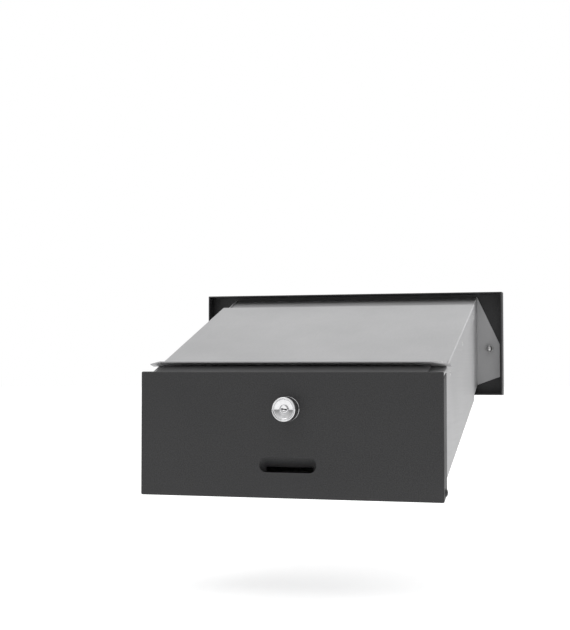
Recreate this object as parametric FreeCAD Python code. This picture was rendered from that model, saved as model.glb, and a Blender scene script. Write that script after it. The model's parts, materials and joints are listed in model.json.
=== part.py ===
import FreeCAD, Part
import math
import os

# Through-the-wall drop box: a street-side plate with a spring flap, a sheet-steel chute that slopes
# down into the building and telescopes to the wall's thickness, and a lockable emptying door.
# Millimetres. X is the width, +Z is up, the street is at -Y and the emptying door at +Y.
# The origin is the centre of the wall opening, in the plane where the plate's rim meets the wall.
# Plate and door stand upright. Heights of the chute are given from its sloping middle line, which
# passes through the origin.

Vec = FreeCAD.Vector

# ---- front plate and letter slot ----
plate_width = 360.0
plate_height = 120.0
plate_depth = 19.0
plate_sheet = 1.5
slot_half_width = 146.5
slot_bottom = -21.5
slot_top = 12.7
screw_x = 164.0
screw_z = -5.9
screw_hole_radius = 2.75

# ---- sleeves ----
slope_angle = 18.5
sheet = 1.0
sleeve_half_width = 149.5
sleeve_bottom = -55.3
sleeve_wall_top = 49.1
sleeve_roof_top = 47.7
sleeve_end = 150.0
roof_flange = 11.5
shell_half_width = 151.0
shell_bottom = -56.8
shell_top = 52.5
shell_start = 28.0
shell_length = 250.0
top_flange = 17.6

# ---- emptying door ----
door_half_width = 154.2
door_below_line = 63.0
door_above_line = 61.5
door_side_above_line = 54.4
door_bottom_flange = 8.0
door_depth = 18.0
door_sheet = 1.2
door_gap = 1.8
door_top_flange_half_width = 138.8
hinge_back = 10.0
hinge_pin_radius = 2.0

# ---- lock ----
lock_below_door_top = 36.3
lock_head_radius = 12.0
lock_head_length = 15.0
lock_barrel_radius = 9.4
lock_plug_radius = 4.2
cam_reach = 28.0

# ---- flap ----
flap_half_width = 144.5
flap_recess = 1.0
flap_sheet = 1.0
flap_pin_radius = 1.5
flap_axis_y = -14.0
flap_axis_z = 14.2
running_gap = 0.05

# ---- places that follow from the sizes ----
plate_front = -plate_depth
plate_back = plate_front + plate_sheet
shell_end = shell_start + shell_length
door_front = shell_end + door_gap + door_sheet
door_inner = door_front - door_sheet
hinge_y = door_front - hinge_back
slope = math.tan(math.radians(slope_angle))
slant_sheet = sheet / math.cos(math.radians(slope_angle))
panel_half_width = shell_half_width + sheet
panel_top = shell_top + slant_sheet


def line_z(y):
    """Height of the chute's sloping middle line."""
    return -slope * y


roof_normal = Vec(0, slope, 1).normalize()
hinge_z = shell_bottom + line_z(hinge_y)
door_bottom = line_z(door_front) - door_below_line
door_top = line_z(door_front) + door_above_line
lock_z = door_top - lock_below_door_top


def block(x0, x1, y0, y1, z0, z1):
    """Box between two corners."""
    return Part.makeBox(x1 - x0, y1 - y0, z1 - z0, Vec(x0, y0, z0))


def wide_block(half_width, y0, y1, z0, z1):
    """Box centred on the width."""
    return block(-half_width, half_width, y0, y1, z0, z1)


def sloped_block(x0, x1, y0, y1, z0, z1):
    """Bar that follows the slope, with upright ends; z is from the middle line."""
    corners = [on_chute(x, y0, z) for x, z in ((x0, z0), (x1, z0), (x1, z1), (x0, z1))]
    return prism(corners, Vec(0, y1 - y0, line_z(y1) - line_z(y0)))


def wide_sloped_block(half_width, y0, y1, z0, z1):
    """Sloped bar centred on the width."""
    return sloped_block(-half_width, half_width, y0, y1, z0, z1)


def on_chute(x, y, z):
    """Point given from the middle line."""
    return Vec(x, y, z + line_z(y))


def rod(radius, start, end):
    """Round bar between two points."""
    axis = end - start
    return Part.makeCylinder(radius, axis.Length, start, axis)


def prism(points, direction):
    """Flat outline pushed along a direction."""
    outline = Part.makePolygon(points + [points[0]])
    return Part.Face(outline).extrude(direction)


def across(points_yz, half_width):
    """Outline in Y and Z pushed across the whole width."""
    points = [Vec(-half_width, y, z) for y, z in points_yz]
    return prism(points, Vec(2 * half_width, 0, 0))


def turned(profile, origin, axis):
    """Round solid from a half outline of (radius, height along axis) points."""
    points = [Vec(radius, 0, height) for radius, height in profile]
    face = Part.Face(Part.makePolygon(points + [points[0]]))
    solid = face.revolve(Vec(0, 0, 0), Vec(0, 0, 1), 360)
    solid.Placement = FreeCAD.Placement(origin, FreeCAD.Rotation(Vec(0, 0, 1), axis))
    return solid


def hexagon(across_flats, origin, axis, length):
    """Hexagonal bar that starts at origin."""
    corner = across_flats / math.sqrt(3)
    points = [Vec(corner * math.cos(math.radians(60 * i)), corner * math.sin(math.radians(60 * i)), 0)
              for i in range(6)]
    solid = prism(points, Vec(0, 0, length))
    solid.Placement = FreeCAD.Placement(origin, FreeCAD.Rotation(Vec(0, 0, 1), axis))
    return solid


def mirrored(solid):
    """The same piece on the other side."""
    return solid.mirror(Vec(0, 0, 0), Vec(1, 0, 0))


def both_sides(solid):
    """A piece and its mirror image, as separate solids."""
    return Part.makeCompound([solid, mirrored(solid)])


def fused(solids):
    """One clean solid from touching ones."""
    joined = solids[0]
    for other in solids[1:]:
        joined = joined.fuse(other)
    return joined.removeSplitter()


def rounded(solid, radius, wanted):
    """Fillet the edges for which wanted(middle, direction) is true."""
    edges = []
    for edge in solid.Edges:
        if edge.Curve.TypeId != "Part::GeomLine":
            continue
        middle = edge.valueAt((edge.FirstParameter + edge.LastParameter) / 2)
        direction = (edge.Vertexes[-1].Point - edge.Vertexes[0].Point).normalize()
        if wanted(middle, direction):
            edges.append(edge)
    return solid.makeFillet(radius, edges)


def near(value, target):
    return abs(value - target) < 0.01


def along_y(direction):
    return abs(direction.y) > 0.99


def downhill(direction):
    return abs(direction.y) > 0.9


def above_line(point):
    """Height of a point from the middle line."""
    return point.z - line_z(point.y)


def save(name, shape):
    shape.exportStep("parts/" + name + ".step")
    print(name, len(shape.Solids), "solid(s),", round(shape.Volume / 1000, 2), "cm3, valid",
          shape.isValid())


# ---------------------------------------------------------------- front unit

def front_plate():
    """Folded pan, open towards the wall, with the letter slot and two screw holes."""
    half_w = plate_width / 2
    half_h = plate_height / 2
    pan = wide_block(half_w, plate_front, 0, -half_h, half_h)
    pan = rounded(pan, 1.8, lambda p, d: near(p.y, plate_front))
    hollow = wide_block(half_w - plate_sheet, plate_back, 1, -half_h + plate_sheet, half_h - plate_sheet)
    pan = pan.cut(hollow)
    pan = pan.cut(wide_block(slot_half_width, plate_front - 1, plate_back + 1, slot_bottom, slot_top))
    for side in (-1, 1):
        start = Vec(side * screw_x, plate_front - 1, screw_z)
        pan = pan.cut(rod(screw_hole_radius, start, start + Vec(0, 4, 0)))
    return pan


def cup_washers():
    """Finishing washers with a raised crest and a conical seat."""
    profile = [(8.3, 0), (8.2, 0.8), (7.6, 1.4), (6.9, 1.7), (6.0, 1.7), (5.4, 1.5), (2.75, 0.1), (2.75, 0)]
    return both_sides(turned(profile, Vec(screw_x, plate_front, screw_z), Vec(0, -1, 0)))


def plate_screws():
    """Raised countersunk screws with a small hexagon socket."""
    dome_radius = 4.9
    dome_rise = 1.5
    steps = 7
    turns = [math.pi / 2 * i / steps for i in range(steps + 1)]
    dome = [(dome_radius * math.sin(turn), 1.3 + dome_rise * math.cos(turn)) for turn in turns]
    profile = dome + [(2.45, 0.05), (2.45, -8.0), (2.1, -8.5), (0, -8.5)]
    at = Vec(screw_x, plate_front, screw_z)
    screw = turned(profile, at, Vec(0, -1, 0))
    socket = hexagon(3.0, at + Vec(0, -1.2, 0), Vec(0, -1, 0), 3)
    return both_sides(screw.cut(socket))


def plate_nuts():
    """Cap nuts on the back of the fixing tabs."""
    tab_back = plate_back + 0.1 + sheet
    at = Vec(screw_x, tab_back, screw_z)
    body = hexagon(8.0, at, Vec(0, 1, 0), 4.0)
    dome = turned([(0, 3.9), (3.8, 3.9), (3.6, 5.4), (2.8, 6.7), (1.5, 7.5), (0, 7.8)], at, Vec(0, 1, 0))
    nut = fused([body, dome])
    return both_sides(nut.cut(rod(2.5, at - Vec(0, 1, 0), at + Vec(0, 6.0, 0))))


def sleeve_shell():
    """Inner sleeve: floor and sides from one sheet, ends bent outwards as fixing tabs."""
    start = plate_back + 0.1
    half_w = sleeve_half_width
    outer = wide_sloped_block(half_w, start, sleeve_end, sleeve_bottom, sleeve_wall_top)
    outer = rounded(outer, 1.5, lambda p, d: downhill(d) and above_line(p) < 0)
    inner = wide_sloped_block(half_w - sheet, start - 1, sleeve_end + 1, sleeve_bottom + slant_sheet,
                              sleeve_wall_top + 1)
    inner = rounded(inner, 0.5, lambda p, d: downhill(d) and above_line(p) < 0)
    trough = outer.cut(inner)
    tab_top = sleeve_wall_top + line_z(start)
    tab_bottom = sleeve_bottom + line_z(start)
    tab_outline = [(half_w - sheet, tab_top), (half_w, tab_top), (175.7, -0.9), (175.7, -38.9),
                   (half_w, tab_bottom + 1.0), (half_w - sheet, tab_bottom + 1.5)]
    tab = prism([Vec(x, start, z) for x, z in tab_outline], Vec(0, sheet, 0))
    hole_at = Vec(screw_x, start - 1, screw_z)
    tab = tab.cut(rod(screw_hole_radius, hole_at, hole_at + Vec(0, 4, 0)))
    return fused([trough, tab, mirrored(tab)])


def sleeve_roof():
    """Roof of the inner sleeve, its edges folded down inside the walls."""
    half_w = sleeve_half_width - sheet
    start = plate_back + 0.1
    outer = wide_sloped_block(half_w, start, sleeve_end, sleeve_roof_top - roof_flange, sleeve_roof_top)
    outer = rounded(outer, 1.5, lambda p, d: downhill(d) and above_line(p) > sleeve_roof_top - 1)
    inner = wide_sloped_block(half_w - sheet, start - 1, sleeve_end + 1, 0, sleeve_roof_top - slant_sheet)
    inner = rounded(inner, 0.5, lambda p, d: downhill(d) and above_line(p) > sleeve_roof_top - 2)
    return outer.cut(inner)


def flap_brackets():
    """Two ears on the plate's back that carry the flap's pin."""
    inner_x = 146.0
    ear_sheet = 1.2
    ear = block(inner_x, inner_x + ear_sheet, plate_back, -9.0, 9.0, 25.0)
    ear = rounded(ear, 3.0, lambda p, d: abs(d.x) > 0.99 and near(p.y, -9.0))
    foot = block(132.0, inner_x + ear_sheet, plate_back, plate_back + ear_sheet, 18.4, 25.0)
    bracket = fused([ear, foot])
    start = Vec(140, flap_axis_y, flap_axis_z)
    return both_sides(bracket.cut(rod(flap_pin_radius + running_gap, start, start + Vec(10, 0, 0))))


def flap_pin():
    """Steel pin through both ears and the flap's rolled edge."""
    return rod(flap_pin_radius, Vec(-148.2, flap_axis_y, flap_axis_z), Vec(148.2, flap_axis_y, flap_axis_z))


def pin_clips():
    """Retaining rings outside the ears."""
    start = Vec(147.3, flap_axis_y, flap_axis_z)
    ring = rod(2.6, start, start + Vec(0.6, 0, 0))
    return both_sides(ring.cut(rod(flap_pin_radius, start - Vec(1, 0, 0), start + Vec(2, 0, 0))))


def flap_springs():
    """Torsion springs round the pin, one leg on the flap's back, the other free to the rear."""
    wire = 0.4
    leg = 0.36
    coil_radius = 2.4
    first_x = 143.4
    pitch = 0.7
    axis_point = Vec(0, flap_axis_y, flap_axis_z)
    pieces = []
    for turn in range(3):
        centre = axis_point + Vec(first_x + turn * pitch, 0, 0)
        pieces.append(Part.makeTorus(coil_radius, wire, centre, Vec(1, 0, 0)))
    low = axis_point + Vec(first_x, -coil_radius, 0)
    pieces.append(rod(leg, low, low + Vec(0, 0, -11)))
    high = axis_point + Vec(first_x + 2 * pitch, 0, coil_radius)
    pieces.append(rod(leg, high - Vec(0, 0.2, 0), high + Vec(0, 8, 0)))
    return both_sides(fused(pieces))


def insert_flap():
    """Stainless flap: face in the slot, set-back lower edge behind the plate, rolled upper edge."""
    face_front = plate_front + flap_recess
    face_back = face_front + flap_sheet
    edge_front = plate_back + 0.3
    edge_back = edge_front + flap_sheet
    web_top = 11.9
    lower_edge = slot_bottom - 4.0
    face = across([(face_front, web_top), (face_front, slot_bottom + 3.7),
                   (edge_front, slot_bottom + 2.4), (edge_front, lower_edge),
                   (edge_back, lower_edge), (edge_back, slot_bottom + 2.8), (face_back, slot_bottom + 4.1),
                   (face_back, web_top)],
                  flap_half_width)
    web = wide_block(142.5, face_back - 0.5, flap_axis_y + 0.8, web_top - flap_sheet, web_top)
    roll = rod(2.5, Vec(-142.5, flap_axis_y, flap_axis_z), Vec(142.5, flap_axis_y, flap_axis_z))
    flap = fused([face, web, roll])
    start = Vec(-150, flap_axis_y, flap_axis_z)
    return flap.cut(rod(flap_pin_radius + running_gap, start, start + Vec(300, 0, 0)))


# ---------------------------------------------------------------- rear unit

def rivet_places():
    """Centres of the flange rivets on both walls, as (side, y, z)."""
    return [(side, y, line_z(y) + 41.0) for side in (-1, 1) for y in (38.0, 131.0, 224.0)]


def rear_shell():
    """Outer sleeve: floor and sides from one sheet."""
    outer = wide_sloped_block(shell_half_width, shell_start, shell_end, shell_bottom, shell_top)
    outer = rounded(outer, 1.5, lambda p, d: downhill(d) and above_line(p) < 0)
    inner = wide_sloped_block(shell_half_width - sheet, shell_start - 1, shell_end + 1,
                              shell_bottom + slant_sheet, shell_top + 1)
    inner = rounded(inner, 0.5, lambda p, d: downhill(d) and above_line(p) < 0)
    trough = outer.cut(inner)
    for side, y, z in rivet_places():
        trough = trough.cut(rod(1.6, Vec(side * 148, y, z), Vec(side * 153, y, z)))
    for side in (-1, 1):
        # room for the closed end of the hinge pin
        trough = trough.cut(rod(2.8, Vec(side * 146, hinge_y, hinge_z), Vec(side * 153, hinge_y, hinge_z)))
    return trough


def rear_top_panel():
    """Top of the outer sleeve, its flanges folded down outside the walls."""
    outer = wide_sloped_block(panel_half_width, shell_start, shell_end, panel_top - top_flange, panel_top)
    outer = rounded(outer, 1.5, lambda p, d: downhill(d) and above_line(p) > panel_top - 1)
    panel = outer.cut(wide_sloped_block(shell_half_width, shell_start - 1, shell_end + 1, 0, shell_top))
    for side, y, z in rivet_places():
        panel = panel.cut(rod(1.6, Vec(side * 148, y, z), Vec(side * 153, y, z)))
    for x, y in canopy_rivet_places():
        panel = panel.cut(roof_hole(x, y, shell_top))
    for x, y in catch_rivet_places():
        panel = panel.cut(roof_hole(x, y, catch_seat))
    return panel


def top_panel_rivets():
    """Flush rivets that hold the flanges to the walls."""
    profile = [(0, 0), (1.6, 0), (1.6, 2.0), (2.3, 2.0), (2.1, 2.4), (1.2, 2.6), (0, 2.6)]
    return Part.makeCompound([turned(profile, Vec(side * (shell_half_width - sheet), y, z), Vec(side, 0, 0))
                              for side, y, z in rivet_places()])


def roof_hole(x, y, seat):
    """Rivet hole square to the sloping roof, through the seat's height from the middle line."""
    middle = on_chute(x, y, seat)
    return rod(1.6, middle - roof_normal * 5, middle + roof_normal * 5)


canopy_half_width = 156.4
canopy_lap_start = door_front - 58.0
canopy_fold = door_front - 40.0
canopy_corner = door_front - 31.0
canopy_edge = door_front - 15.0
canopy_rise = 13.6


def canopy_rivet_places():
    return [(side * x, door_front - 50.0) for side in (-1, 1) for x in (131.0, 143.0)]


def catch_rivet_places():
    return [(-12.0, door_front - 29.0), (12.0, door_front - 29.0)]


def door_canopy():
    """Rain canopy: lapped on the top panel, then nearly level out over the door, corners cut off."""
    lap_top = panel_top + slant_sheet
    edge_top = panel_top + canopy_rise
    outline = [(canopy_lap_start, panel_top), (canopy_fold + 0.3, panel_top),
               (canopy_edge + 0.1, edge_top - 1.1), (canopy_edge - 0.1, edge_top),
               (canopy_fold - 0.2, lap_top), (canopy_lap_start, lap_top)]
    canopy = across([(y, z + line_z(y)) for y, z in outline], canopy_half_width)
    low, high = line_z(door_front), line_z(canopy_lap_start) + 90
    for side in (-1, 1):
        lap_side = sorted((side * 150.0, side * 170.0))
        canopy = canopy.cut(block(*lap_side, canopy_lap_start - 1, canopy_fold, low, high))
        corner = [Vec(side * x, y, low) for x, y in ((door_top_flange_half_width, canopy_edge + 1),
                                                     (canopy_half_width + 1, canopy_corner),
                                                     (canopy_half_width + 1, canopy_edge + 1))]
        canopy = canopy.cut(prism(corner, Vec(0, 0, high - low)))
    for x, y in canopy_rivet_places():
        canopy = canopy.cut(roof_hole(x, y, shell_top))
    return canopy


def canopy_rivets():
    """Rivets through the canopy's lap and the top panel."""
    profile = [(0, 0), (1.6, 0), (1.6, 2.0), (2.8, 2.0), (2.5, 2.6), (1.4, 2.9), (0, 2.9)]
    return Part.makeCompound([turned(profile, on_chute(x, y, shell_top), roof_normal)
                              for x, y in canopy_rivet_places()])


catch_lip_y = door_front - 18.6
catch_sheet = 1.2
catch_lip_bottom = shell_top - 10.1
catch_seat = shell_top - catch_sheet / math.cos(math.radians(slope_angle))


def lock_catch():
    """Bracket under the top panel; the lock's cam turns up in front of its lip."""
    lip_back = catch_lip_y + catch_sheet
    base_start = catch_lip_y - 16.4
    lip = wide_sloped_block(20, catch_lip_y, lip_back, catch_lip_bottom, shell_top)
    base = wide_sloped_block(20, base_start, lip_back, catch_seat, shell_top)
    bracket = fused([lip, base])
    for x, y in catch_rivet_places():
        bracket = bracket.cut(roof_hole(x, y, catch_seat))
    return bracket


def catch_rivets():
    """Rivets through the top panel and the catch."""
    profile = [(0, -0.6), (2.6, -0.6), (2.6, 0), (1.6, 0), (1.6, 2.2), (2.8, 2.2), (2.5, 2.8), (0, 2.8)]
    return Part.makeCompound([turned(profile, on_chute(x, y, catch_seat), roof_normal)
                              for x, y in catch_rivet_places()])


def hinge_ears():
    """Plates welded outside the walls, reaching below the floor to carry the door's pins."""
    ear_sheet = 1.5
    tip_radius = 4.6
    ear_top = shell_bottom + 15.5
    outside = shell_half_width + ear_sheet
    plate = sloped_block(shell_half_width, outside, hinge_y - 14, shell_end, shell_bottom, ear_top)
    plate = rounded(plate, 3.0, lambda p, d: abs(d.x) > 0.99 and near(above_line(p), ear_top))
    centre = Vec(shell_half_width, hinge_y, hinge_z)
    tip = rod(tip_radius, centre, centre + Vec(ear_sheet, 0, 0))
    ear = fused([plate, tip])
    ear = ear.cut(rod(hinge_pin_radius + running_gap, centre - Vec(10, 0, 0), centre + Vec(10, 0, 0)))
    return both_sides(ear)


# ---------------------------------------------------------------- door

pull_half_width = 29.0
pull_bottom = door_bottom + 25.8
pull_top = door_bottom + 40.8
pull_corner = 7.0
pull_depth = 7.0
pull_slot_half_width = 24.0
pull_slot_top = door_bottom + 30.8


def rounded_outline(half_w, low, high, radius, y):
    """Rectangle with round corners, standing in the plane of the door at the given Y."""
    corners = [(half_w - radius, high - radius, 0), (radius - half_w, high - radius, 90),
               (radius - half_w, low + radius, 180), (half_w - radius, low + radius, 270)]
    arcs = []
    for x, z, turn in corners:
        angles = [math.radians(turn + step) for step in (0, 45, 90)]
        points = [Vec(x + radius * math.cos(angle), y, z + radius * math.sin(angle)) for angle in angles]
        arcs.append(Part.Arc(*points).toShape())
    edges = []
    for i, arc in enumerate(arcs):
        following = arcs[(i + 1) % 4]
        edges += [arc, Part.makeLine(arc.Vertexes[-1].Point, following.Vertexes[0].Point)]
    return Part.Wire(edges)


def pull_tool(grow, y0, y1):
    """Tapered plug from the pull's slot at depth out to its outline at the face, grown all round."""
    low = pull_bottom - grow
    wide = rounded_outline(pull_half_width + grow, low, pull_top + grow, pull_corner + grow, y1)
    narrow = rounded_outline(pull_slot_half_width + grow, low, pull_slot_top + grow, 1.0 + grow, y0)
    return Part.makeLoft([narrow, wide], True)


def door_panel():
    """Folded pan over the shell's end: upright face, flanges that follow the slope, a finger pull."""
    front = door_front
    back = front - door_depth
    slant_door = door_sheet / math.cos(math.radians(slope_angle))
    inside_x = door_half_width - door_sheet
    floor_top = slant_door - door_below_line
    pan = wide_sloped_block(door_half_width, back, front, -door_below_line, door_above_line)
    pan = rounded(pan, 1.5, lambda p, d: downhill(d))
    pan = rounded(pan, 1.3, lambda p, d: near(p.y, front))
    roof_bottom = door_above_line - slant_door
    flange_back = front - door_bottom_flange
    pan = pan.cut(wide_sloped_block(inside_x, back - 1, door_inner, floor_top, roof_bottom))
    pan = pan.cut(wide_sloped_block(inside_x, back - 1, flange_back, -door_below_line - 1, floor_top))
    for side in (-1, 1):
        x0, x1 = sorted((side * door_top_flange_half_width, side * (door_half_width + 1)))
        corner = sloped_block(x0, x1, back - 1, door_inner, door_side_above_line, door_above_line + 1)
        pan = pan.cut(corner)
    outer = pull_tool(door_sheet, door_inner - pull_depth, door_inner)
    inner = pull_tool(0.0, door_inner - pull_depth - 0.01, front + 0.01)
    skirt = outer.cut(wide_block(60, 200, 300, door_bottom, pull_bottom))
    pan = pan.fuse(skirt).cut(inner)
    lock_hole = rod(lock_barrel_radius + 0.1, Vec(0, door_inner - 1, lock_z), Vec(0, front + 1, lock_z))
    pan = pan.cut(lock_hole)
    for side in (-1, 1):
        start = Vec(side * 150, hinge_y, hinge_z)
        pan = pan.cut(rod(hinge_pin_radius, start, start + Vec(side * 10, 0, 0)))
    return pan.removeSplitter()


def hinge_pins():
    """Shouldered rivets fixed in the door's flanges, running in the ears."""
    closed_end = shell_half_width - 0.1
    at = Vec(closed_end, hinge_y, hinge_z)
    outside = door_half_width - closed_end
    inner_head = [(0, -1.4), (2.4, -1.4), (2.4, 0)]
    shank = [(hinge_pin_radius, 0), (hinge_pin_radius, outside)]
    outer_head = [(4.0, outside), (3.9, outside + 0.7), (3.0, outside + 1.6), (1.6, outside + 2.0),
                  (0, outside + 2.0)]
    profile = inner_head + shank + outer_head
    return both_sides(turned(profile, at, Vec(1, 0, 0)))


# ---------------------------------------------------------------- lock

def lock_body():
    """Chromed housing: dished head outside, round barrel inside."""
    at = Vec(0, door_front, lock_z)
    length = lock_head_length
    head = [(lock_plug_radius + 0.1, -18.0), (lock_barrel_radius, -18.0), (lock_barrel_radius, 0),
            (lock_head_radius + 0.6, 0), (lock_head_radius + 0.6, 1.4), (lock_head_radius, 1.8),
            (lock_head_radius, length - 0.5), (lock_head_radius - 0.4, length),
            (lock_head_radius - 1.3, length), (lock_head_radius - 1.9, length - 0.7),
            (lock_plug_radius + 0.1, length - 1.5)]
    return turned(head, at, Vec(0, 1, 0))


def lock_washer():
    start = Vec(0, door_inner - 0.8, lock_z)
    ring = rod(12.0, start, start + Vec(0, 0.8, 0))
    return ring.cut(rod(lock_barrel_radius + 0.1, start - Vec(0, 1, 0), start + Vec(0, 2, 0)))


def lock_nut():
    start = Vec(0, door_inner - 4.9, lock_z)
    nut = hexagon(22.0, start, Vec(0, 1, 0), 4.0)
    return nut.cut(rod(lock_barrel_radius, start - Vec(0, 1, 0), start + Vec(0, 6, 0)))


cam_thickness = 2.5
cam_square = 5.6
cam_y = catch_lip_y - 0.4 - cam_thickness


def lock_plug():
    """Turning plug with a stepped keyway, and a square end for the cam."""
    front = door_front + lock_head_length - 1.2
    plug = rod(lock_plug_radius + 0.05, Vec(0, cam_y + cam_thickness, lock_z), Vec(0, front, lock_z))
    half = cam_square / 2
    square_end = cam_y + cam_thickness + 0.5
    plug = plug.fuse(block(-half, half, cam_y, square_end, lock_z - half, lock_z + half))
    plug = plug.cut(block(-3.5, 1.2, front - 9, front + 1, lock_z - 0.9, lock_z + 0.5))
    plug = plug.cut(block(-1.0, 3.5, front - 9, front + 1, lock_z - 0.3, lock_z + 1.0))
    plug = plug.cut(rod(1.7, Vec(0, cam_y - 1, lock_z), Vec(0, cam_y + 8, lock_z)))
    return plug.removeSplitter()


def lock_cam():
    """Flat cam on the plug's square end, pointing sideways when unlocked."""
    hub = rod(8.0, Vec(0, cam_y, lock_z), Vec(0, cam_y + cam_thickness, lock_z))
    arm = block(0, cam_reach, cam_y, cam_y + cam_thickness, lock_z - 7.0, lock_z + 7.0)
    arm = rounded(arm, 3.0, lambda p, d: along_y(d) and p.x > cam_reach - 1)
    cam = fused([hub, arm])
    half = cam_square / 2
    hole_end = cam_y + cam_thickness + 1
    return cam.cut(block(-half, half, cam_y - 1, hole_end, lock_z - half, lock_z + half))


def cam_screw():
    """Cheese-head screw that holds the cam."""
    at = Vec(0, cam_y, lock_z)
    profile = [(0, -7.0), (1.65, -7.0), (1.65, 0), (4.6, 0), (4.6, 2.2), (4.2, 2.6), (0, 2.6)]
    screw = turned(profile, at, Vec(0, -1, 0))
    return screw.cut(block(-5, 5, cam_y - 4, cam_y - 1.4, lock_z - 0.6, lock_z + 0.6))


nodes = {
    "front_plate": front_plate, "cup_washers": cup_washers, "plate_screws": plate_screws,
    "plate_nuts": plate_nuts, "sleeve_shell": sleeve_shell, "sleeve_roof": sleeve_roof,
    "flap_brackets": flap_brackets, "flap_pin": flap_pin, "pin_clips": pin_clips,
    "flap_springs": flap_springs, "insert_flap": insert_flap,
    "rear_shell": rear_shell, "rear_top_panel": rear_top_panel, "top_panel_rivets": top_panel_rivets,
    "door_canopy": door_canopy, "canopy_rivets": canopy_rivets, "lock_catch": lock_catch,
    "catch_rivets": catch_rivets, "hinge_ears": hinge_ears,
    "door_panel": door_panel, "hinge_pins": hinge_pins,
    "lock_body": lock_body, "lock_washer": lock_washer, "lock_nut": lock_nut,
    "lock_plug": lock_plug, "lock_cam": lock_cam, "cam_screw": cam_screw,
}

os.makedirs("parts", exist_ok=True)
for name, make in nodes.items():
    save(name, make())
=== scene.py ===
import bpy, bmesh, json, math
from mathutils import Matrix, Vector


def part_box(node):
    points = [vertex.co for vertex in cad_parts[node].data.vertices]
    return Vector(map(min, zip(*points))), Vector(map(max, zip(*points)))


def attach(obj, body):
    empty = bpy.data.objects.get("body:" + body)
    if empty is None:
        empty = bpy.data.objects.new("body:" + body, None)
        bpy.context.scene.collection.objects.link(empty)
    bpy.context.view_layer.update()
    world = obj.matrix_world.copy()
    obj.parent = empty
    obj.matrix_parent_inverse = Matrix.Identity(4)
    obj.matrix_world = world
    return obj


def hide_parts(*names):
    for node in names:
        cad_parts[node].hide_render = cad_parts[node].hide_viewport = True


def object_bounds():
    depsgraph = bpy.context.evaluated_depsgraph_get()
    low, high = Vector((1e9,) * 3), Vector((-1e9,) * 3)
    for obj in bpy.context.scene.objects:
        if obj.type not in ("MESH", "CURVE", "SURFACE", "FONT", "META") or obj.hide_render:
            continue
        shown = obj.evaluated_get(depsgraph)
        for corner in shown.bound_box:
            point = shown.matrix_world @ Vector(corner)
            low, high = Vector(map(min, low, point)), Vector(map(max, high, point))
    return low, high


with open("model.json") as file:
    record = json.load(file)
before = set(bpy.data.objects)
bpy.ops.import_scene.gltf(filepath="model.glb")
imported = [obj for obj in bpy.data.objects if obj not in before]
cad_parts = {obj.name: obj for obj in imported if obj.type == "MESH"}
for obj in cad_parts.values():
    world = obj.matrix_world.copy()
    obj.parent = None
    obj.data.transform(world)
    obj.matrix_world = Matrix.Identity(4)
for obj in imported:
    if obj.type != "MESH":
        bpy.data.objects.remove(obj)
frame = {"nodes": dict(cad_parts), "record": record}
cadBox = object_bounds()
nodes = frame["nodes"]
mm = 0.001
print("frame loaded,", len(nodes), "nodes")


record = frame["record"]
bodyOf = {node: body for body, members in record["behaviour"]["bodies"].items() for node in members}
slotOf = {part["node"]: part["material_slot"] for part in record["subparts"]}
jointAxes = {joint["name"]: Vector(joint["axis"]) for joint in record["behaviour"]["joints"]}
downhill = jointAxes["depth_slide"]
roofNormal = Vector((0, -downhill.z, downhill.y))


def standIn(name, mesh, node):
    # a finer piece shown in place of a CAD node
    piece = bpy.data.objects.new(name, mesh)
    bpy.context.scene.collection.objects.link(piece)
    mesh.materials.clear()
    mesh.materials.append(finishes[slotOf[node]])
    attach(piece, bodyOf[node])
    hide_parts(node)
    return piece


def shadeByAngle(bm, degrees):
    limit = math.radians(degrees)
    for face in bm.faces:
        face.smooth = True
    for edge in bm.edges:
        edge.smooth = len(edge.link_faces) == 2 and edge.calc_face_angle() < limit


def meshFrom(bm, name, degrees=32):
    bmesh.ops.recalc_face_normals(bm, faces=bm.faces)
    shadeByAngle(bm, degrees)
    mesh = bpy.data.meshes.new(name)
    bm.to_mesh(mesh)
    bm.free()
    return mesh


def applyModifiers(piece):
    graph = bpy.context.evaluated_depsgraph_get()
    baked = bpy.data.meshes.new_from_object(piece.evaluated_get(graph))
    piece.modifiers.clear()
    piece.data = baked


def softenEdges(piece, width, degrees=30, segments=2):
    # a small round on every sharp edge, as paint or a deburring tool leaves it
    bevel = piece.modifiers.new("softEdges", "BEVEL")
    bevel.width = width * mm
    bevel.segments = segments
    bevel.limit_method = "ANGLE"
    bevel.angle_limit = math.radians(degrees)
    bevel.harden_normals = True
    applyModifiers(piece)


def workedSheet(name, node, edgeRound, segments=2):
    # the CAD sheet's own faces joined up again, with its cut edges rounded
    bm = bmesh.new()
    bm.from_mesh(nodes[node].data)
    bmesh.ops.remove_doubles(bm, verts=bm.verts, dist=1e-6)
    bmesh.ops.dissolve_limit(bm, angle_limit=math.radians(0.6), verts=bm.verts, edges=bm.edges)
    mesh = meshFrom(bm, name)
    piece = standIn(name, mesh, node)
    softenEdges(piece, edgeRound, segments=segments)
    return piece


def aroundZ(angle, reach, height):
    # point in metres, from an angle and two lengths in millimetres
    return Vector((math.cos(angle) * reach, math.sin(angle) * reach, height)) * mm


def hexEdge(angle, acrossFlats):
    # distance from a hexagon's centre to its edge in that direction
    fromFlat = (angle + math.pi / 6) % (math.pi / 3) - math.pi / 6
    return acrossFlats / 2 / math.cos(fromFlat)


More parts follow.
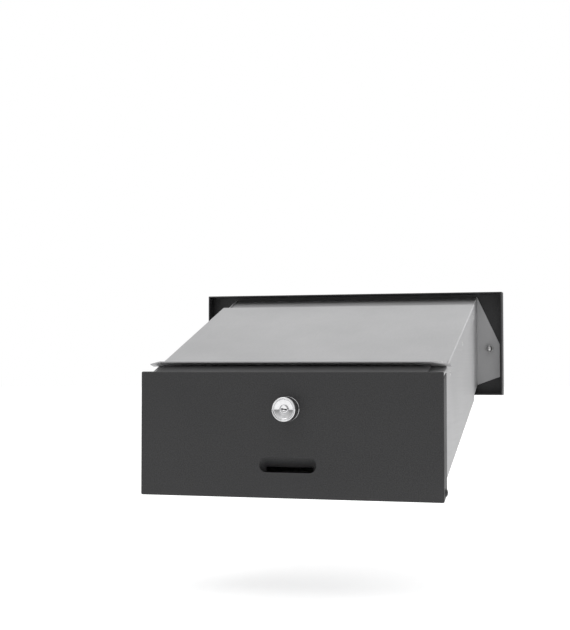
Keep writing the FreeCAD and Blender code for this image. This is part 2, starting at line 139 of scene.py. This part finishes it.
def spin(bm, profile, matrix, segments=48, closed=False):
    # profile: (radius, height) or (radius, height, width across flats) in millimetres, along local Z
    rings = []
    for radius, height, *flats in profile:
        if radius == 0:
            rings.append([bm.verts.new(matrix @ Vector((0, 0, height * mm)))])
            continue
        ring = []
        for i in range(segments):
            angle = 2 * math.pi * i / segments
            reach = min(radius, hexEdge(angle, flats[0])) if flats else radius
            ring.append(bm.verts.new(matrix @ aroundZ(angle, reach, height)))
        rings.append(ring)
    pairs = list(zip(rings, rings[1:])) + ([(rings[-1], rings[0])] if closed else [])
    for first, second in pairs:
        for i in range(segments):
            j = (i + 1) % segments
            corners = [first[i % len(first)], first[j % len(first)],
                       second[j % len(second)], second[i % len(second)]]
            corners = [v for k, v in enumerate(corners) if v not in corners[:k]]
            if len(corners) > 2:
                bm.faces.new(corners)


def along(place, axis):
    # matrix that stands local Z along an axis at a place
    return Matrix.Translation(place) @ Vector(axis).to_track_quat("Z", "Y").to_matrix().to_4x4()


def bothSides(place):
    return [(side, Vector((side * place[0], place[1], place[2]))) for side in (1, -1)]


def shaderNode(tree, kind, **inputs):
    node = tree.nodes.new(kind)
    for key, value in inputs.items():
        node.inputs[key.replace("_", " ")].default_value = value
    return node


def newMaterial(name, constants):
    material = bpy.data.materials.new(name)
    material.use_nodes = True
    shader = material.node_tree.nodes["Principled BSDF"]
    for socket, value in constants.items():
        shader.inputs[socket].default_value = value
    return material, material.node_tree, shader


def grain(tree, scale, detail, stretch=(1, 1, 1)):
    # noise in the piece's own coordinates, stretched along the rolling or brushing direction
    place = tree.nodes.new("ShaderNodeTexCoord")
    mapping = tree.nodes.new("ShaderNodeMapping")
    mapping.inputs["Scale"].default_value = stretch
    noise = shaderNode(tree, "ShaderNodeTexNoise", Scale=scale, Detail=detail, Roughness=0.6)
    tree.links.new(place.outputs["Object"], mapping.inputs["Vector"])
    tree.links.new(mapping.outputs["Vector"], noise.inputs["Vector"])
    return noise.outputs["Fac"]


def ranged(tree, source, low, high, fromLow=0.3, fromHigh=0.7):
    spread = tree.nodes.new("ShaderNodeMapRange")
    for key, value in (("From Min", fromLow), ("From Max", fromHigh), ("To Min", low), ("To Max", high)):
        spread.inputs[key].default_value = value
    tree.links.new(source, spread.inputs["Value"])
    return spread.outputs["Result"]


def blendColours(tree, factor, first, second):
    mix = tree.nodes.new("ShaderNodeMix")
    mix.data_type = "RGBA"
    mix.inputs["A"].default_value = (*first, 1)
    mix.inputs["B"].default_value = (*second, 1)
    tree.links.new(factor, mix.inputs["Factor"])
    return mix.outputs["Result"]


def relief(tree, shader, height, strength, distance):
    bump = shaderNode(tree, "ShaderNodeBump", Strength=strength, Distance=distance)
    tree.links.new(height, bump.inputs["Height"])
    tree.links.new(bump.outputs["Normal"], shader.inputs["Normal"])


def powderCoatMaterial():
    look = dict(dark=(0.012, 0.012, 0.013), light=(0.030, 0.030, 0.031), grainScale=900, bump=0.4)
    material, tree, shader = newMaterial("structuredPowderCoat", {"Specular IOR Level": 0.45})
    fine = grain(tree, look["grainScale"], 3)
    cloud = grain(tree, 14, 2)
    colour = blendColours(tree, ranged(tree, fine, 0, 1), look["dark"], look["light"])
    tree.links.new(colour, shader.inputs["Base Color"])
    tree.links.new(ranged(tree, cloud, 0.44, 0.54), shader.inputs["Roughness"])
    relief(tree, shader, fine, look["bump"], 0.0002)
    return material


def zincMaterial():
    look = dict(dark=(0.40, 0.40, 0.405), light=(0.45, 0.45, 0.455), rolling=(60, 1.5, 60))
    material, tree, shader = newMaterial("mattZincSheet", {"Metallic": 0.35, "Specular IOR Level": 0.35})
    streak = grain(tree, 8, 5, look["rolling"])
    cloud = grain(tree, 9, 3)
    colour = blendColours(tree, ranged(tree, cloud, 0, 1), look["dark"], look["light"])
    tree.links.new(colour, shader.inputs["Base Color"])
    tree.links.new(ranged(tree, streak, 0.5, 0.6), shader.inputs["Roughness"])
    relief(tree, shader, streak, 0.05, 0.0002)
    return material


def metalMaterial(name, dark, light, roughness, stretch, scale, bump):
    material, tree, shader = newMaterial(name, {"Metallic": 1.0})
    marks = grain(tree, scale, 4, stretch)
    tree.links.new(blendColours(tree, ranged(tree, marks, 0, 1), dark, light), shader.inputs["Base Color"])
    tree.links.new(ranged(tree, marks, *roughness), shader.inputs["Roughness"])
    relief(tree, shader, marks, bump, 0.0001)
    return material


finishes = {
    "powder_coat": powderCoatMaterial(),
    "zinc_sheet": zincMaterial(),
    "stainless": metalMaterial("brushedStainless", (0.62, 0.62, 0.62), (0.74, 0.74, 0.74),
                               (0.30, 0.40), (1, 40, 40), 60, 0.08),
    "chrome": metalMaterial("polishedChrome", (0.62, 0.62, 0.63), (0.74, 0.74, 0.75),
                            (0.05, 0.12), (1, 1, 1), 300, 0.02),
    "fastener_steel": metalMaterial("platedSteel", (0.46, 0.46, 0.46), (0.60, 0.60, 0.59),
                                    (0.25, 0.42), (1, 1, 1), 500, 0.06),
    "spring_steel": metalMaterial("springWire", (0.30, 0.30, 0.31), (0.42, 0.42, 0.42),
                                  (0.22, 0.35), (1, 1, 1), 700, 0.05),
}
for name, node in nodes.items():
    node.data.materials[0] = finishes[slotOf[name]]
print("materials made")


sheetEdges = dict(painted=0.45, zinc=0.16, flap=0.2)
workedSheet("frontPlatePan", "front_plate", sheetEdges["painted"], segments=3)
workedSheet("doorPan", "door_panel", sheetEdges["painted"], segments=3)
for name, node in (("sleeveTrough", "sleeve_shell"), ("sleeveRoof", "sleeve_roof"),
                   ("rearTrough", "rear_shell"), ("rearTopPanel", "rear_top_panel"),
                   ("doorCanopy", "door_canopy"), ("camCatch", "lock_catch"),
                   ("hingeEars", "hinge_ears"), ("flapEars", "flap_brackets")):
    workedSheet(name, node, sheetEdges["zinc"])
workedSheet("insertFlap", "insert_flap", sheetEdges["flap"])
print("sheet pieces made")


def makeCupWashers():
    look = dict(rim=8.3, crest=6.6, crestHeight=1.7, crestHalf=1.55, crestRound=1.25, bore=2.75)
    low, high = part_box("cup_washers")
    place = Vector((high.x - look["rim"] * mm, high.y, (low.z + high.z) / 2))
    arch = [(look["crest"] + look["crestHalf"] * math.cos(math.radians(a)),
             look["crestHeight"] - look["crestRound"] + look["crestRound"] * math.sin(math.radians(a)))
            for a in range(0, 181, 15)]
    profile = [(look["rim"], 0.0), (look["rim"], 0.22), *arch, (look["bore"], 0.1), (look["bore"], 0.0)]
    bm = bmesh.new()
    for _, at in bothSides(place):
        spin(bm, profile, along(at, (0, -1, 0)), 64, closed=True)
    standIn("cupWashers", meshFrom(bm, "cupWashers"), "cup_washers")


def makePlateScrews():
    look = dict(head=4.9, rise=1.5, base=1.3, shank=2.45, socket=3.0, socketDepth=1.5, length=8.5)
    low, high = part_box("plate_screws")
    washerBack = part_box("cup_washers")[1].y
    place = Vector((high.x - look["head"] * mm, washerBack, (low.z + high.z) / 2))
    mouth = look["socket"] / math.sqrt(3) + 0.2
    dome = [(look["head"] * math.sin(math.radians(a)),
             look["base"] + look["rise"] * math.cos(math.radians(a)))
            for a in range(96, 23, -6)]
    top = look["base"] + look["rise"]
    # wider than the hexagon's corners, so that its whole outline shows
    whole = 9
    socket = [(mouth, top - 0.12), (mouth, top - 0.16, look["socket"] + 0.25),
              (whole, top - 0.3, look["socket"]), (whole, top - look["socketDepth"], look["socket"]),
              (0, top - look["socketDepth"] - 0.5)]
    shank = [(0, -look["length"]), (look["shank"] - 0.35, -look["length"]),
             (look["shank"], -look["length"] + 0.5), (look["shank"], 0.05)]
    bm = bmesh.new()
    for _, at in bothSides(place):
        spin(bm, shank + dome + socket, along(at, (0, -1, 0)), 48)
    standIn("plateScrews", meshFrom(bm, "plateScrews"), "plate_screws")


def makeCapNuts():
    look = dict(flats=8.0, bodyHeight=4.0, dome=3.75, height=7.8, bore=2.5, boreDepth=6.0)
    low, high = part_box("plate_nuts")
    place = Vector((high.x - look["flats"] / math.sqrt(3) * mm, low.y, (low.z + high.z) / 2))
    flats, tall = look["flats"], look["bodyHeight"]
    body = [(look["bore"] + 0.3, 0.0), (4.15, 0.0), (4.4, 0.15, flats), (4.62, 0.35, flats),
            (4.62, tall - 0.35, flats), (4.4, tall - 0.12, flats), (4.1, tall, flats), (look["dome"], tall)]
    dome = [(look["dome"] * math.cos(math.radians(a)),
             tall + 0.25 + (look["height"] - tall - 0.25) * math.sin(math.radians(a)))
            for a in range(0, 90, 9)] + [(0, look["height"])]
    bore = [(0, look["boreDepth"]), (look["bore"], look["boreDepth"] - 0.6), (look["bore"], 0.0)]
    bm = bmesh.new()
    for _, at in bothSides(place):
        spin(bm, bore + body + dome, along(at, (0, 1, 0)), 48)
    standIn("capNuts", meshFrom(bm, "capNuts"), "plate_nuts")


def rivetProfile(head, crown, shank, grip):
    # blind rivet: low domed head with the broken stem in its middle, and the set end on the far side
    dome = [(head * math.cos(math.radians(a)), crown * math.sin(math.radians(a))) for a in range(0, 70, 12)]
    stem = [(0.95, crown * 0.93), (0.85, crown * 0.55), (0.7, crown * 0.62), (0, crown * 0.66)]
    setEnd = [(0, -grip - 0.55), (shank * 0.9, -grip - 0.55), (shank * 1.12, -grip - 0.3),
              (shank * 1.05, -grip)]
    return setEnd + [(shank, -grip), (shank, 0.0), (head, 0.0)] + dome[1:] + stem


def roofPlace(x, y, lift=0.0):
    # point on the sloping top panel, or lift millimetres above it
    low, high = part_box("rear_top_panel")
    return Vector((x, y, high.z + (y - low.y) * downhill.z / downhill.y + lift * mm))


def makeRivets():
    look = dict(flangeHead=2.3, flangeCrown=0.55, lidHead=2.8, lidCrown=0.85, shank=1.55, innerSpacing=12,
                lapGrip=2.0, catchGrip=2.2, flangeGrip=2.0, lapSheet=1.0)
    flange = rivetProfile(look["flangeHead"], look["flangeCrown"], look["shank"], look["flangeGrip"])
    low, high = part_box("top_panel_rivets")
    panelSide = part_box("rear_top_panel")[1].x
    inset = look["flangeHead"] * mm
    bm = bmesh.new()
    for part in (0.0, 0.5, 1.0):
        y = low.y + inset + (high.y - low.y - 2 * inset) * part
        z = high.z - inset - (high.z - low.z - 2 * inset) * part
        for side, at in bothSides((panelSide, y, z)):
            spin(bm, flange, along(at, (side, 0, 0)), 32)
    standIn("flangeRivets", meshFrom(bm, "flangeRivets"), "top_panel_rivets")

    head = look["lidHead"] * mm
    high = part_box("canopy_rivets")[1]
    topY = high.y - head * downhill.y
    bm = bmesh.new()
    for x in (high.x - head, high.x - head - look["innerSpacing"] * mm):
        for side, at in bothSides(roofPlace(x, topY, look["lapSheet"] / downhill.y)):
            spin(bm, rivetProfile(look["lidHead"], look["lidCrown"], look["shank"], look["lapGrip"]),
                 along(at, roofNormal), 32)
    standIn("canopyRivets", meshFrom(bm, "canopyRivets"), "canopy_rivets")

    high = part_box("catch_rivets")[1]
    bm = bmesh.new()
    for side, at in bothSides(roofPlace(high.x - head, high.y - head * downhill.y)):
        spin(bm, rivetProfile(look["lidHead"], look["lidCrown"], look["shank"], look["catchGrip"]),
             along(at, roofNormal), 32)
    standIn("catchRivets", meshFrom(bm, "catchRivets"), "catch_rivets")


def makeHingePins():
    look = dict(head=4.0, crown=2.0, shank=2.0, innerHead=2.4, innerLength=1.4, dimple=1.1)
    low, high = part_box("hinge_pins")
    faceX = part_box("door_panel")[1].x
    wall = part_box("rear_shell")[1].x
    length = (faceX - wall) / mm + 0.1
    dome = [(look["head"] * math.cos(math.radians(a)), length + look["crown"] * math.sin(math.radians(a)))
            for a in range(0, 75, 8)]
    stemTop = length + look["crown"] * 0.8
    stem = [(look["dimple"], length + look["crown"] * 0.93), (look["dimple"] - 0.3, stemTop), (0, stemTop)]
    inner = [(0, -look["innerLength"]), (look["innerHead"] - 0.4, -look["innerLength"]),
             (look["innerHead"], 0.3 - look["innerLength"]), (look["innerHead"], 0.0),
             (look["shank"], 0.0), (look["shank"], length), (look["head"] - 0.2, length)]
    bm = bmesh.new()
    for side, at in bothSides((wall - 0.1 * mm, (low.y + high.y) / 2, (low.z + high.z) / 2)):
        spin(bm, inner + dome + stem, along(at, (side, 0, 0)), 40)
    standIn("hingePins", meshFrom(bm, "hingePins"), "hinge_pins")


def makeFlapPin():
    look = dict(radius=1.5, chamfer=0.3)
    low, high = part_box("flap_pin")
    radius, length = look["radius"], (high.x - low.x) / mm
    chamfer = look["chamfer"]
    profile = [(0, 0), (radius - chamfer, 0), (radius, chamfer), (radius, length - chamfer),
               (radius - chamfer, length), (0, length)]
    bm = bmesh.new()
    spin(bm, profile, along((low.x, (low.y + high.y) / 2, (low.z + high.z) / 2), (1, 0, 0)), 32)
    standIn("flapPin", meshFrom(bm, "flapPin"), "flap_pin")


def makePinClips():
    # snap rings with three inner teeth and an open side
    look = dict(outer=2.6, gap=2.0, tooth=1.52, opening=38, toothHalf=16, thickness=0.5)
    low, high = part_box("pin_clips")
    bm = bmesh.new()
    angles = range(look["opening"], 361 - look["opening"], 4)
    for side, at in bothSides((high.x - 0.3 * mm, (low.y + high.y) / 2, (low.z + high.z) / 2)):
        matrix = along(at, (side, 0, 0))
        rows = []
        for degrees in angles:
            nearTooth = min(abs(degrees - tooth) for tooth in (look["opening"], 180, 360 - look["opening"]))
            inner = look["tooth"] if nearTooth < look["toothHalf"] else look["gap"]
            turn = Vector((math.cos(math.radians(degrees)), math.sin(math.radians(degrees)), 0))
            half = Vector((0, 0, look["thickness"] / 2))
            outer = look["outer"]
            corners = ((inner, -half), (outer, -half), (outer, half), (inner, half))
            rows.append([bm.verts.new(matrix @ ((turn * reach + lift) * mm)) for reach, lift in corners])
        for first, second in zip(rows, rows[1:]):
            for i in range(4):
                bm.faces.new((first[i], first[(i + 1) % 4], second[(i + 1) % 4], second[i]))
        bm.faces.new(rows[0])
        bm.faces.new(rows[-1])
    standIn("pinClips", meshFrom(bm, "pinClips"), "pin_clips")


def makeSprings():
    look = dict(coil=2.4, wire=0.33, pitch=0.72, turns=3.25, lowLeg=11, backLeg=8, firstX=143.2)
    pinLow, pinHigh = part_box("flap_pin")
    axis = Vector((0, (pinLow.y + pinHigh.y) / 2, (pinLow.z + pinHigh.z) / 2)) / mm
    steps = int(look["turns"] * 32)
    path = [(look["firstX"], axis.y - look["coil"], axis.z - look["lowLeg"])]
    for i in range(steps + 1):
        turn = math.pi - 2 * math.pi * i / 32
        path.append((look["firstX"] + look["pitch"] * i / 32, axis.y + look["coil"] * math.cos(turn),
                     axis.z + look["coil"] * math.sin(turn)))
    path.append((path[-1][0], axis.y + look["backLeg"], path[-1][2]))
    curve = bpy.data.curves.new("springWirePath", "CURVE")
    curve.dimensions = "3D"
    curve.bevel_depth = look["wire"] * mm
    curve.bevel_resolution = 3
    curve.use_fill_caps = True
    for side in (1, -1):
        spline = curve.splines.new("POLY")
        spline.points.add(len(path) - 1)
        for point, (x, y, z) in zip(spline.points, path):
            point.co = (side * x * mm, y * mm, z * mm, 1)
    wire = bpy.data.objects.new("springWirePath", curve)
    mesh = bpy.data.meshes.new_from_object(wire)
    bpy.data.objects.remove(wire)
    mesh.shade_smooth()
    standIn("flapSprings", mesh, "flap_springs")


makeCupWashers()
makePlateScrews()
makeCapNuts()
makeRivets()
makeHingePins()
makeFlapPin()
makePinClips()
makeSprings()
print("fasteners, pins and springs made")


def spinThread(bm, radius, depth, pitch, low, high, matrix, segments=48, stepsPerTurn=6):
    # threaded barrel between two heights: the groove climbs as it goes round
    rows = []
    count = int((high - low) / pitch * stepsPerTurn)
    for step in range(count + 1):
        height = low + (high - low) * step / count
        fade = min(1, (height - low) / pitch, (high - height) / pitch)
        row = []
        for i in range(segments):
            phase = (height / pitch - i / segments) % 1
            reach = radius - depth * fade * (1 - abs(2 * phase - 1))
            angle = 2 * math.pi * i / segments
            row.append(bm.verts.new(matrix @ aroundZ(angle, reach, height)))
        rows.append(row)
    for first, second in zip(rows, rows[1:]):
        for i in range(segments):
            j = (i + 1) % segments
            bm.faces.new((first[i], first[j], second[j], second[i]))
    return rows[0], rows[-1]


def lockPlace():
    low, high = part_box("lock_body")
    return Vector((0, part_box("door_panel")[1].y, (low.z + high.z) / 2))


def makeLockBody():
    look = dict(head=12.0, base=12.6, barrel=9.4, barrelLength=18.0, bore=4.3, pitch=1.0, threadDepth=0.45)
    head = look["head"]
    length = (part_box("lock_body")[1].y - lockPlace().y) / mm
    matrix = along(lockPlace(), (0, 1, 0))
    bm = bmesh.new()
    low = -look["barrelLength"]
    outside = [(look["barrel"], 0.0), (look["base"] - 0.15, 0.0), (look["base"], 0.15), (look["base"], 0.9),
               (look["base"] - 0.2, 1.3), (head, 1.75), (head, length - 0.75), (head - 0.12, length - 0.35),
               (head - 0.4, length - 0.08), (head - 0.8, length), (head - 1.2, length - 0.08),
               (head - 1.5, length - 0.35), (head - 1.65, length - 0.8), (head - 1.85, length - 1.0),
               (head - 2.3, length - 1.0), (head - 2.55, length - 0.75)]
    dish = [(head - 2.55 - (head - 2.55 - look["bore"] - 0.35) * t, length - 0.75 - 1.5 * t ** 0.8)
            for t in (0.08, 0.2, 0.4, 0.6, 0.8, 1.0)]
    inside = [(look["bore"], length - 2.5), (look["bore"], low), (look["barrel"] - 0.6, low)]
    spin(bm, outside + dish + inside, matrix, 72)
    spinThread(bm, look["barrel"], look["threadDepth"], look["pitch"], low + 0.3, 0, matrix, 72)
    spin(bm, [(look["barrel"] - 0.6, low), (look["barrel"], low + 0.3)], matrix, 72)
    bmesh.ops.remove_doubles(bm, verts=bm.verts, dist=1e-6)
    standIn("lockHousing", meshFrom(bm, "lockHousing", 38), "lock_body")


def cutAway(piece, cutter):
    cut = piece.modifiers.new("cut", "BOOLEAN")
    cut.object = cutter
    cut.operation = "DIFFERENCE"
    cut.solver = "EXACT"
    applyModifiers(piece)
    bpy.data.objects.remove(cutter)


def keywayCutter(place, look):
    # stepped slot with a ward on each side
    reach, low, high = look["reach"], look["wardLow"], look["wardHigh"]
    outline = [(-reach, -high), (-0.9, -high), (-0.6, -low), (reach - 0.4, -low), (reach, 0.1), (reach, high),
               (0.9, high), (0.5, low), (-reach + 0.4, low), (-reach, 0.0)]
    bm = bmesh.new()
    rings = [[bm.verts.new(place + Vector((x, y, z)) * mm) for x, z in outline] for y in (-look["depth"], 1)]
    bm.faces.new(rings[0])
    bm.faces.new(rings[1])
    for i in range(len(outline)):
        j = (i + 1) % len(outline)
        bm.faces.new((rings[0][i], rings[0][j], rings[1][j], rings[1][i]))
    cutter = bpy.data.objects.new("keywayCutter", meshFrom(bm, "keywayCutter"))
    bpy.context.scene.collection.objects.link(cutter)
    return cutter


def makeLockPlug():
    look = dict(radius=4.15, reach=3.45, wardLow=0.6, wardHigh=1.1, depth=24.0, squareHalf=2.8,
                squareLength=3.0, screwHole=1.7, screwDepth=8.0)
    low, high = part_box("lock_plug")
    middle = Vector((0, 0, (low.z + high.z) / 2))
    length = (high.y - low.y) / mm
    radius = look["radius"]
    square = look["squareHalf"]
    barrel = [(radius - 0.25, look["squareLength"]), (radius, look["squareLength"] + 0.25),
              (radius, length - 0.8), (radius - 0.1, length - 0.35), (radius - 0.35, length - 0.08),
              (radius - 0.7, length), (radius - 1.0, length - 0.06),
              (radius - 1.3, length - 0.28), (1.6, length - 0.45), (0, length - 0.5)]
    matrix = along(Vector((0, low.y, middle.z)), (0, 1, 0))
    bm = bmesh.new()
    hole = [(0, look["screwDepth"]), (look["screwHole"], look["screwDepth"] - 0.8), (look["screwHole"], 0.0)]
    squareRings = []
    segments = 64
    for height in (0.0, look["squareLength"]):
        ring = []
        for i in range(segments):
            angle = 2 * math.pi * i / segments
            fromFlat = (angle + math.pi / 4) % (math.pi / 2) - math.pi / 4
            reach = min(square / math.cos(fromFlat), square * 1.36)
            ring.append(bm.verts.new(matrix @ aroundZ(angle, reach, height)))
        squareRings.append(ring)
    spin(bm, hole, matrix, segments)
    spin(bm, barrel, matrix, segments)
    bm.verts.ensure_lookup_table()
    backSquare, frontSquare = squareRings
    upright = matrix.inverted()
    holeRing = [v for v in bm.verts
                if v.is_boundary and abs((upright @ v.co).z) < 1e-7 and v not in backSquare]
    barrelRing = [v for v in bm.verts if v.is_boundary and v not in frontSquare
                  and abs((upright @ v.co).z - look["squareLength"] * mm) < 1e-7]
    for first, second in ((holeRing, backSquare), (backSquare, frontSquare), (frontSquare, barrelRing)):
        for i in range(segments):
            j = (i + 1) % segments
            bm.faces.new((first[i], first[j], second[j], second[i]))
    plug = standIn("lockPlug", meshFrom(bm, "lockPlug", 38), "lock_plug")
    cutAway(plug, keywayCutter(Vector((0, high.y, middle.z)), look))


def makeLockNut():
    look = dict(flats=22.0, bore=9.4, chamfer=0.5)
    low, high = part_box("lock_nut")
    tall = (high.y - low.y) / mm
    corner = look["flats"] / math.sqrt(3)
    rim = look["flats"] / 2
    flats, bore = look["flats"], look["bore"]
    edge = look["chamfer"] + 0.25
    outside = [(rim - 0.1, 0.0), (rim + 0.35, 0.2, flats), (corner, edge, flats),
               (corner, tall - edge, flats), (rim + 0.35, tall - 0.2, flats), (rim - 0.1, tall)]
    inside = [(bore + 0.3, tall), (bore - 0.05, tall - 0.4), (bore - 0.05, 0.4), (bore + 0.3, 0.0)]
    bm = bmesh.new()
    spin(bm, outside + inside, along((0, low.y, (low.z + high.z) / 2), (0, 1, 0)), 72, closed=True)
    standIn("lockNut", meshFrom(bm, "lockNut"), "lock_nut")


def makeLockWasher():
    # serrated washer: teeth all round, each twisted a little
    look = dict(root=10.9, tip=12.0, bore=9.6, teeth=16, twist=0.12)
    low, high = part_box("lock_washer")
    thickness = (high.y - low.y) / mm
    matrix = along((0, low.y, (low.z + high.z) / 2), (0, 1, 0))
    segments = look["teeth"] * 6
    bm = bmesh.new()
    rows = []
    for i in range(segments):
        angle = 2 * math.pi * i / segments
        onTooth = i % 6 in (0, 1, 2)
        reach = look["tip"] if onTooth else look["root"]
        lift = look["twist"] * (i % 6 - 1) if onTooth else 0
        inner, root = 0.2, thickness - 0.2
        corners = ((look["bore"], inner), (reach, inner + max(lift, -0.2)),
                   (reach, root + min(lift, 0.2)), (look["bore"], root))
        rows.append([bm.verts.new(matrix @ aroundZ(angle, r, h)) for r, h in corners])
    for first, second in zip(rows, rows[1:] + rows[:1]):
        for i in range(4):
            bm.faces.new((first[i], first[(i + 1) % 4], second[(i + 1) % 4], second[i]))
    standIn("lockWasher", meshFrom(bm, "lockWasher"), "lock_washer")


makeLockBody()
makeLockPlug()
makeLockNut()
makeLockWasher()
workedSheet("lockCam", "lock_cam", 0.3)
workedSheet("camScrew", "cam_screw", 0.12)
print("lock made")


def makeCamera():
    look = dict(place=(-0.3327, 1.471, -0.0286), aim=(0.0025, 0.281, 0.0236), lens=71.74)
    camera = bpy.data.objects.new("camera", bpy.data.cameras.new("camera"))
    bpy.context.scene.collection.objects.link(camera)
    towards = Vector(look["aim"]) - Vector(look["place"])
    turn = towards.to_track_quat("-Z", "Y").to_matrix().to_4x4()
    camera.matrix_world = Matrix.Translation(look["place"]) @ turn
    camera.data.lens = look["lens"]
    camera.data.clip_end = 60
    bpy.context.scene.camera = camera


def softLight(name, place, aim, size, power):
    lamp = bpy.data.lights.new(name, "AREA")
    lamp.shape = "DISK"
    lamp.size = size
    lamp.energy = power
    light = bpy.data.objects.new(name, lamp)
    bpy.context.scene.collection.objects.link(light)
    light.location = place
    light.rotation_euler = (Vector(aim) - Vector(place)).to_track_quat("-Z", "Y").to_euler()


def makeStudio():
    look = dict(backdrop=1.0, lowSky=0.35, highSky=1.1, bandTop=0.8, floorDrop=0.10, floorSize=14)
    world = bpy.data.worlds.new("paleStudio")
    world.use_nodes = True
    tree = world.node_tree
    background = tree.nodes["Background"]
    # the room that the metal reflects is darker near the horizon; the backdrop itself is plain and pale
    direction = tree.nodes.new("ShaderNodeTexCoord")
    split = tree.nodes.new("ShaderNodeSeparateXYZ")
    tree.links.new(direction.outputs["Generated"], split.inputs["Vector"])
    room = ranged(tree, split.outputs["Z"], look["lowSky"], look["highSky"], 0.02, look["bandTop"])
    rays = tree.nodes.new("ShaderNodeLightPath")
    choice = tree.nodes.new("ShaderNodeMix")
    choice.inputs["B"].default_value = look["backdrop"]
    tree.links.new(rays.outputs["Is Camera Ray"], choice.inputs["Factor"])
    tree.links.new(room, choice.inputs["A"])
    tree.links.new(choice.outputs["Result"], background.inputs["Strength"])
    background.inputs["Color"].default_value = (1, 1, 1, 1)
    bpy.context.scene.world = world
    softLight("highLight", (0.9, 1.6, 2.2), (0, 0.14, 0), 1.6, 9)
    softLight("streetLight", (-1.4, -1.8, 1.6), (0, 0.14, 0), 1.6, 20)
    floor = bpy.data.meshes.new("floor")
    bm = bmesh.new()
    bmesh.ops.create_circle(bm, cap_ends=True, segments=96, radius=look["floorSize"])
    bm.to_mesh(floor)
    bm.free()
    ground = bpy.data.objects.new("floor", floor)
    bpy.context.scene.collection.objects.link(ground)
    ground.location = (0, 0.1, cadBox[0].z - look["floorDrop"])
    # a faint glow keeps the far floor as pale as the backdrop
    paint, tree, shader = newMaterial("paleFloor", {
        "Base Color": (0.9, 0.9, 0.9, 1), "Roughness": 0.8, "Specular IOR Level": 0.1,
        "Emission Color": (1, 1, 1, 1), "Emission Strength": 0.3})
    # seen from below the floor is clear, so the object's underside can be looked at
    clear = tree.nodes.new("ShaderNodeBsdfTransparent")
    side = tree.nodes.new("ShaderNodeNewGeometry")
    mix = tree.nodes.new("ShaderNodeMixShader")
    output = tree.nodes["Material Output"]
    tree.links.new(side.outputs["Backfacing"], mix.inputs[0])
    tree.links.new(shader.outputs[0], mix.inputs[1])
    tree.links.new(clear.outputs[0], mix.inputs[2])
    tree.links.new(mix.outputs[0], output.inputs["Surface"])
    floor.materials.append(paint)


makeCamera()
makeStudio()
bpy.context.scene.view_settings.view_transform = "Standard"
print("camera, lights and floor in place")
